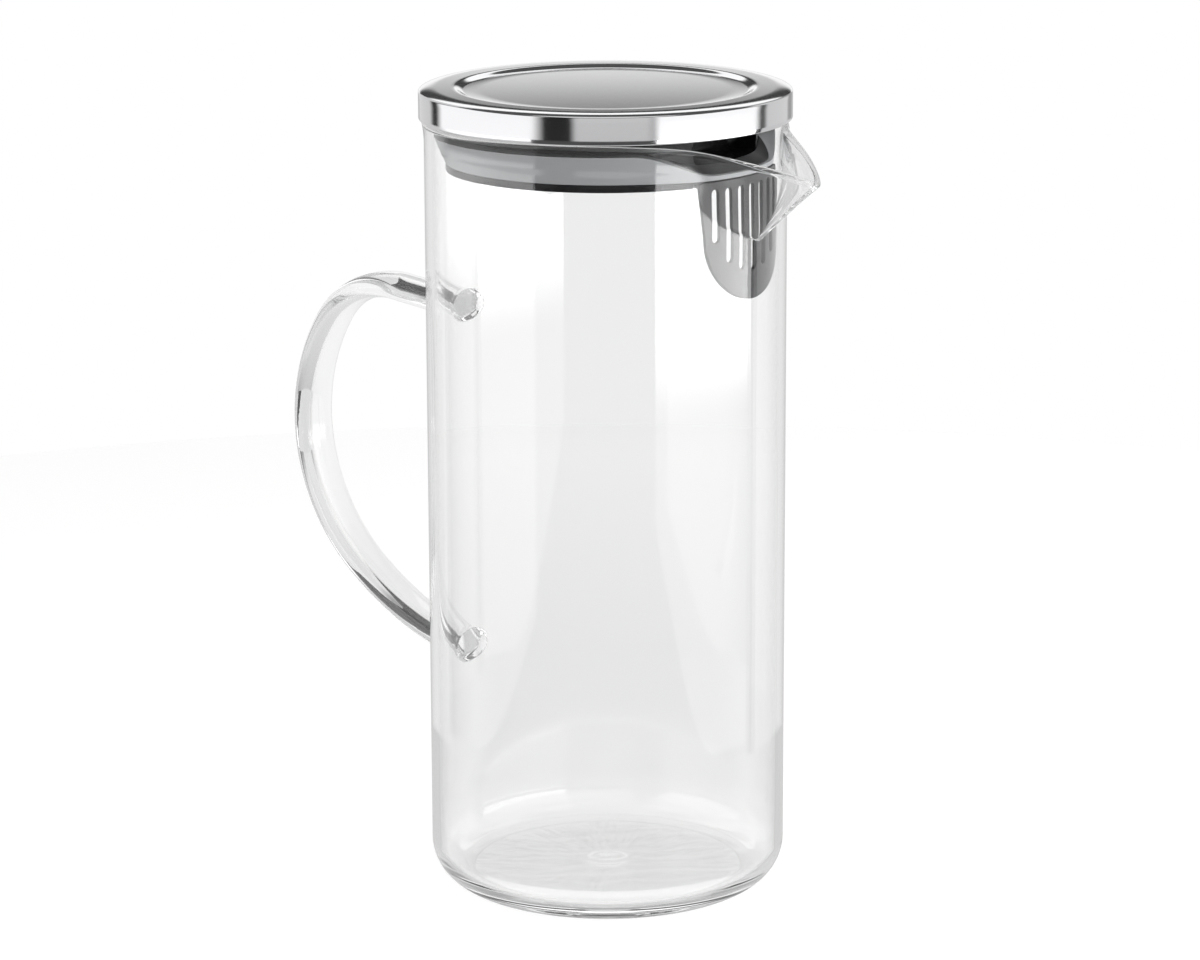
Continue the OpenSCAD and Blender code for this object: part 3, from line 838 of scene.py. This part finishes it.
# %% [markdown]
# The cap is pressed from steel sheet. It is drawn as one turned wall: over the top, down the skirt, round
# the raw edge and back inside. The shoulder of the shallow recess is a soft S, and the top rolls over into
# the skirt along a wide flat curve, because a press can't make a sharp one.

# %% Steel cap, turned
SHEET = 0.6 * MM
CAP_EDGE_R = 1.2 * MM
CAP_EDGE_W = 5 * MM
CAP_BAND = 10.1 * MM
SHOULDER_W = 3 * MM
RECESS_DEPTH = 1 * MM
CAP_COLUMNS = 256
CAP_TOP = LID_Z + CAP_H
RECESS_R = CAP_R - CAP_BAND


def sheet_line(inset):
    """The top, edge and skirt of the cap, from the axis outwards, set in by a thickness."""
    top, r, edge, wide = CAP_TOP - inset, CAP_R - inset, CAP_EDGE_R - inset, CAP_EDGE_W - inset
    rounding = [(r - wide + x * wide, top - edge + z * edge) for x, z in arc(0, 0, 1, 90, 0, 16)]
    bed = RECESS_R - SHOULDER_W + inset
    return (
        line(0, top - RECESS_DEPTH, bed, top - RECESS_DEPTH, 8)
        + s_curve(bed, top - RECESS_DEPTH, RECESS_R + inset, top, 14)
        + line(RECESS_R + inset, top, r - wide, top, 6)
        + rounding
        + line(r, top - edge, r, LID_Z + SHEET / 2, 6)
    )


raw_edge = arc(CAP_R - SHEET / 2, LID_Z + SHEET / 2, SHEET / 2, 0, -180, 8)
cap = spin_section("steel_cap", sheet_line(0) + raw_edge + sheet_line(SHEET)[::-1], CAP_COLUMNS)
print("turned cap of", len(cap.data.vertices), "points")

# %% [markdown]
# The plug is moulded in black plastic: a deck that rests over the rim, ribs that carry the cap, and a wall
# with a flange. It is turned, the block of the pour pocket is joined to it, and then the pocket and the
# seat of the strainer are cut out.

# %% Black plug
PLUG_R = INNER_R - 6.1 * MM
PLUG_WALL = 2 * MM
FLANGE_T = 2.2 * MM
FLANGE_OUT = 2.3 * MM
DECK_T = 2 * MM
RIB_T = 2 * MM
RIB_R = PLUG_R - 6 * MM
CAP_GAP = 0.3 * MM
WINDOW_W = 34 * MM
WINDOW_CORNER_R = 2.8 * MM
POCKET_DEPTH = 12 * MM
SCOOP_FLOOR = 1.3 * MM
CHUTE_RISE = 2.1 * MM
MOULD_EDGE = 0.25 * MM
PLUG_COLUMNS = 192
SLICE_COLUMNS = 48
SHELF_PLAY = 1

FLANGE_TOP = FLANGE_Z + FLANGE_T
DECK_R = CAP_R - SHEET - CAP_GAP
OUTER_RIB_TOP = LID_Z + CAP_H - 2 * SHEET - CAP_GAP
INNER_RIB_TOP = LID_Z + CAP_H - RECESS_DEPTH - SHEET - CAP_GAP
plug_corners = [
    (0, LID_Z), (PLUG_R - PLUG_WALL, LID_Z), (PLUG_R - PLUG_WALL, FLANGE_Z), (PLUG_R + FLANGE_OUT, FLANGE_Z),
    (PLUG_R + FLANGE_OUT, FLANGE_TOP), (PLUG_R, FLANGE_TOP), (PLUG_R, LID_Z), (DECK_R, LID_Z),
    (DECK_R, OUTER_RIB_TOP), (DECK_R - RIB_T, OUTER_RIB_TOP), (DECK_R - RIB_T, LID_Z + DECK_T),
    (RIB_R, LID_Z + DECK_T), (RIB_R, INNER_RIB_TOP), (RIB_R - RIB_T, INNER_RIB_TOP),
    (RIB_R - RIB_T, LID_Z + DECK_T), (0, LID_Z + DECK_T)
]
plug = spin_section("black_plug", plug_corners, PLUG_COLUMNS)

window_low = FLANGE_TOP + SCOOP_FLOOR + CHUTE_RISE
window_high = LID_Z - PLUG_WALL / 2


def box_between(name, low, high):
    """A plain block between two corners."""
    centre = [(a + b) / 2 for a, b in zip(low, high)]
    size = [b - a for a, b in zip(low, high)]
    block = start_piece(name, bpy.ops.mesh.primitive_cube_add, size=1, location=centre, scale=size)
    bpy.ops.object.transform_apply(location=True, rotation=True, scale=True)
    return block


pocket_x = PLUG_R - POCKET_DEPTH
half = WINDOW_W / 2 + PLUG_WALL
pocket = box_between(
    "pour pocket", (pocket_x - PLUG_WALL, -half, window_low - PLUG_WALL), (PLUG_R, half, LID_Z + DECK_T / 2)
)
rounding = start_piece(
    "rounding", bpy.ops.mesh.primitive_cylinder_add, vertices=PLUG_COLUMNS, radius=PLUG_R - PLUG_WALL / 2,
    depth=PLUG_R, location=(0, 0, LID_Z)
)
cut(pocket, rounding, "INTERSECT")
cut(plug, pocket, "UNION")
window = box_between(
    "window cutter", (pocket_x, -WINDOW_W / 2, window_low), (GLASS_R, WINDOW_W / 2, window_high)
)
# The window's corners are round, so only its four long edges are selected and bevelled.
bpy.ops.object.mode_set(mode="EDIT")
bpy.ops.mesh.select_all(action="DESELECT")
bpy.ops.object.mode_set(mode="OBJECT")
for edge in window.data.edges:
    ends = [window.data.vertices[i].co for i in edge.vertices]
    edge.select = abs(ends[0].x - ends[1].x) > POCKET_DEPTH / 2
bpy.ops.object.mode_set(mode="EDIT")
bpy.ops.mesh.bevel(offset=WINDOW_CORNER_R, segments=8, affect="EDGES")
bpy.ops.object.mode_set(mode="OBJECT")
cut(plug, window)

STRAINER_R = INNER_R - 0.6 * MM
STRAINER_T = 1.2 * MM
TONGUE_TOP_HALF = 20.6 * MM
TONGUE_CORNER_R = 1.6 * MM
SHELF_T = FLANGE_T / 2
shelf_angle = math.degrees(math.asin((TONGUE_TOP_HALF - TONGUE_CORNER_R / 2) / STRAINER_R))


def sector(name, r1, r2, low, high, half_angle):
    """A solid slice of a ring, centred on the spout's direction."""
    ring = line(r1, low, r2, low) + line(r2, high, r1, high) + [(r1, low)]
    return spin_section(name, ring, SLICE_COLUMNS, -half_angle, 2 * half_angle, solid_ends=True)


shelf_seat = sector(
    "seat cutter", PLUG_R - PLUG_WALL - MM, GLASS_R, FLANGE_Z - MM, FLANGE_Z + SHELF_T,
    shelf_angle + SHELF_PLAY
)
cut(plug, shelf_seat)
round_edges(plug, MOULD_EDGE)
print("plug of", len(plug.data.vertices), "points")

# %% [markdown]
# The seal is a soft silicone cone round the plug. A scoop is let into it in front of the spout, and its
# floor slopes up to the pour window like a chute. The turned cone is lowered there by the same formula as
# in the CAD.

# %% Silicone seal
SEAL_H = 8.4 * MM
SEAL_TAPER = 3.4 * MM
SEAL_LIP_R = INNER_R - 0.3 * MM
SEAL_BORE_R = PLUG_R + 0.05 * MM
SCOOP_FLAT = math.radians(17)
SCOOP_HALF = math.radians(48)
SCOOP_TAPER_SHARE = 0.15
HOLLOW_SHARE = 0.2
LIP_ROUND = 0.35 * MM
SEAL_COLUMNS = 288


def scoop(b):
    """1 in the flat of the scoop and 0 outside it, by the angle b from the spout, in radians."""
    return 1 - soft_step((b - SCOOP_FLAT) / (SCOOP_HALF - SCOOP_FLAT))


def seal_edge_r(h, b):
    """Radius of the cone's outside at a height."""
    taper = SEAL_TAPER * (1 - (1 - SCOOP_TAPER_SHARE) * scoop(b))
    return SEAL_LIP_R - taper * (1 - h / SEAL_H)


SEAL_FOOT_R = SEAL_LIP_R - SEAL_TAPER
cone = line(SEAL_BORE_R, 0, SEAL_FOOT_R, 0, 3) + line(SEAL_FOOT_R, 0, SEAL_LIP_R, SEAL_H, 14)
top = line(SEAL_LIP_R, SEAL_H, SEAL_BORE_R, SEAL_H, 14) + line(SEAL_BORE_R, SEAL_H, SEAL_BORE_R, 0, 4)
seal = spin_section("silicone_seal", cone + top, SEAL_COLUMNS)


def lower_scoop(co):
    """Where a point of the turned cone goes."""
    r, a = math.hypot(co.x, co.y), math.atan2(co.y, co.x)
    b = abs(a)
    edge_h = SEAL_H - (SEAL_H - SCOOP_FLOOR) * scoop(b)
    bore_h = edge_h + CHUTE_RISE * scoop(b)
    edge_r = seal_edge_r(edge_h, b)
    if co.z > SEAL_H - MM / 100:
        share = (SEAL_LIP_R - r) / (SEAL_LIP_R - SEAL_BORE_R)
        r = edge_r + (SEAL_BORE_R - edge_r) * share
        sag = CHUTE_RISE * scoop(b) * HOLLOW_SHARE * math.sin(math.pi * share)
        z = edge_h + (bore_h - edge_h) * share - sag
    elif r > SEAL_BORE_R + MM / 100:
        z = co.z * edge_h / SEAL_H
        foot_share = (r - SEAL_BORE_R) / (SEAL_FOOT_R - SEAL_BORE_R) if co.z < MM / 100 else 1
        r = SEAL_BORE_R + (seal_edge_r(z, b) - SEAL_BORE_R) * foot_share
    else:
        z = co.z * bore_h / SEAL_H
    return Vector((r * math.cos(a), r * math.sin(a), FLANGE_TOP + z))


for v in seal.data.vertices:
    v.co = lower_scoop(v.co)
round_edges(seal, LIP_ROUND, angle=50)
print("seal of", len(seal.data.vertices), "points")

# %% [markdown]
# The strainer is a thin slotted tongue. It is drawn flat, as an outline with holes in it, given its
# thickness and small round edges, and then bent round the inside of the glass. Its shelf sits in the plug's
# flange. A thin sheet of the same dark plastic lies on the chute as painted shade, where the lid shades it.

# %% Strainer
TONGUE_R = 18.8 * MM
SLOT_COUNT = 7
SLOT_W = 2.5 * MM
SLOT_PITCH = math.radians(6)
SLOT_MARGIN = 8.3 * MM
SLOT_ARC_R = 17 * MM
TONGUE_GAP = 0.3 * MM
TONGUE_EDGE = 0.2 * MM
BEND_STEPS = 48
SHELF_GAP = 0.05 * MM
# Sizes of the painted shade: a thin dark sheet laid on the chute, where the lid shades it.
SHADE_SHEET_HALF = 33
SHADE_SHEET_LIFT = 0.1 * MM
SHADE_SHEET_T = 0.25 * MM
SHADE_SHEET_RIM_SHARE = 0.12
SHADE_SHEET_NARROWEST = 0.03

tongue_mid = TONGUE_LOW + TONGUE_R
corner_z = TONGUE_HIGH - TONGUE_CORNER_R
slot_top = FLANGE_Z - TONGUE_GAP


def slot_end(angle):
    """The lower ends of the slots lie on an arc."""
    below_centre = math.sqrt(SLOT_ARC_R ** 2 - (STRAINER_R * math.sin(angle)) ** 2)
    return TONGUE_LOW + SLOT_MARGIN + SLOT_ARC_R - below_centre


def unrolled(y):
    """Length round the bend that ends up at the width y."""
    return STRAINER_R * math.asin(y / STRAINER_R)


tongue_right = (
    arc(0, tongue_mid, TONGUE_R, -90, 0, 40)
    + line(TONGUE_R, tongue_mid, TONGUE_TOP_HALF, corner_z, 12)[1:]
    + arc(TONGUE_TOP_HALF - TONGUE_CORNER_R, corner_z, TONGUE_CORNER_R, 0, 90, 8)[1:]
)
tongue_half = [(unrolled(y), z) for y, z in tongue_right]
outlines = [tongue_half + [(-y, z) for y, z in tongue_half[:0:-1]]]
for k in range(SLOT_COUNT):
    angle = (k - (SLOT_COUNT - 1) / 2) * SLOT_PITCH
    y, low_end, high_end = STRAINER_R * angle, slot_end(angle) + SLOT_W / 2, slot_top - SLOT_W / 2
    outlines.append(arc(y, high_end, SLOT_W / 2, 0, 180, 12) + arc(y, low_end, SLOT_W / 2, 180, 360, 12))

flat = bpy.data.curves.new("strainer", "CURVE")
flat.dimensions = "2D"
flat.fill_mode = "BOTH"
flat.extrude = STRAINER_T / 2 - TONGUE_EDGE
flat.bevel_depth = TONGUE_EDGE
flat.bevel_resolution = 2
flat.offset = -TONGUE_EDGE
for outline in outlines:
    spline = flat.splines.new("POLY")
    spline.points.add(len(outline) - 1)
    spline.use_cyclic_u = True
    for point, (y, z) in zip(spline.points, outline):
        point.co = (y, z, 0, 1)
tongue = bpy.data.objects.new("strainer_tongue", flat)
scene.collection.objects.link(tongue)
make_active(tongue)
bpy.ops.object.convert(target="MESH")
tongue = bpy.context.object
bpy.ops.object.mode_set(mode="EDIT")
bpy.ops.mesh.select_all(action="SELECT")
bpy.ops.mesh.remove_doubles(threshold=MM / 1000)
for i in range(1, BEND_STEPS):
    y = unrolled(TONGUE_TOP_HALF) * (2 * i / BEND_STEPS - 1)
    bpy.ops.mesh.select_all(action="SELECT")
    bpy.ops.mesh.bisect(plane_co=(y, 0, 0), plane_no=(1, 0, 0))
bpy.ops.object.mode_set(mode="OBJECT")
for v in tongue.data.vertices:
    r, a = STRAINER_R - STRAINER_T / 2 + v.co.z, v.co.x / STRAINER_R
    v.co = (r * math.cos(a), r * math.sin(a), v.co.y)
shelf = sector(
    "strainer_shelf", PLUG_R - PLUG_WALL, STRAINER_R - STRAINER_T / 2, FLANGE_Z,
    FLANGE_Z + SHELF_T - SHELF_GAP, shelf_angle
)
round_edges(shelf, TONGUE_EDGE)

# The painted shade sheet starts as a flat slice at the top of the seal. It narrows towards its ends and
# towards the seal's lip, which stays bare. Then it is let down on to the chute, where the lid's shade falls.
shade_sheet_line = line(SEAL_BORE_R, SEAL_H, SEAL_LIP_R, SEAL_H, 10)
ramp = spin_section("painted_shade_sheet", shade_sheet_line, SLICE_COLUMNS, -SHADE_SHEET_HALF, 2 * SHADE_SHEET_HALF)
for v in ramp.data.vertices:
    r, a = math.hypot(v.co.x, v.co.y), math.atan2(v.co.y, v.co.x)
    unshaded_share = SHADE_SHEET_RIM_SHARE + (1 - SHADE_SHEET_RIM_SHARE) * (abs(math.degrees(a)) / SHADE_SHEET_HALF) ** 4
    r = SEAL_BORE_R + (r - SEAL_BORE_R) * max(SHADE_SHEET_NARROWEST, 1 - unshaded_share)
    v.co = lower_scoop(Vector((r * math.cos(a), r * math.sin(a), SEAL_H))) + Vector((0, 0, SHADE_SHEET_LIFT))
thicken = ramp.modifiers.new("thicken", "SOLIDIFY")
thicken.thickness = SHADE_SHEET_T
thicken.offset = 1
apply_modifiers(ramp)
make_active(tongue)
shelf.select_set(True)
ramp.select_set(True)
bpy.ops.object.join()
print("strainer with", SLOT_COUNT, "slots and", len(tongue.data.vertices), "points")

# %% [markdown]
# The finishes of the lid. The steel is satin, with a very fine mottle in its gloss. The plug and the
# strainer are moulded plastic with a coarser one, and the silicone is softer and paler. Each is a colour
# and a gloss that wanders.

# %% Finishes of the lid
def lid_finish(name, colour, mottle, low, high):
    """A Principled finish. Its roughness wanders from low to high over mottles of a given size."""
    material, nodes, links, shader, output = new_material(name)
    shader.inputs["Base Color"].default_value = (*colour, 1)
    place = nodes.new("ShaderNodeTexCoord")
    noise = nodes.new("ShaderNodeTexNoise")
    noise.inputs["Scale"].default_value = 1 / mottle
    noise.inputs["Detail"].default_value = 4
    spread = nodes.new("ShaderNodeMapRange")
    spread.inputs["To Min"].default_value = low
    spread.inputs["To Max"].default_value = high
    links.new(place.outputs["Object"], noise.inputs["Vector"])
    links.new(noise.outputs["Fac"], spread.inputs["Value"])
    links.new(spread.outputs["Result"], shader.inputs["Roughness"])
    return material, shader


steel, shader = lid_finish("satin steel", (0.66, 0.66, 0.67), 0.8 * MM, 0.07, 0.11)
shader.inputs["Metallic"].default_value = 1
black_plastic, shader = lid_finish("black moulded plastic", (0.012, 0.012, 0.013), 3 * MM, 0.16, 0.2)
shader.inputs["Specular IOR Level"].default_value = 0.2
silicone, shader = lid_finish("light grey silicone", (0.45, 0.46, 0.47), 5 * MM, 0.38, 0.5)
grey_plastic, shader = lid_finish("dark grey plastic", (0.05, 0.05, 0.052), 3 * MM, 0.25, 0.35)

finish_piece(cap, steel, "cap", "steel", "lid_cap", angle=50)
finish_piece(plug, black_plastic, "insert", "plug_plastic", "lid_plug", angle=40)
finish_piece(seal, silicone, "insert", "silicone", "seal_ring", angle=40)
finish_piece(tongue, grey_plastic, "insert", "strainer_plastic", "strainer", angle=40)
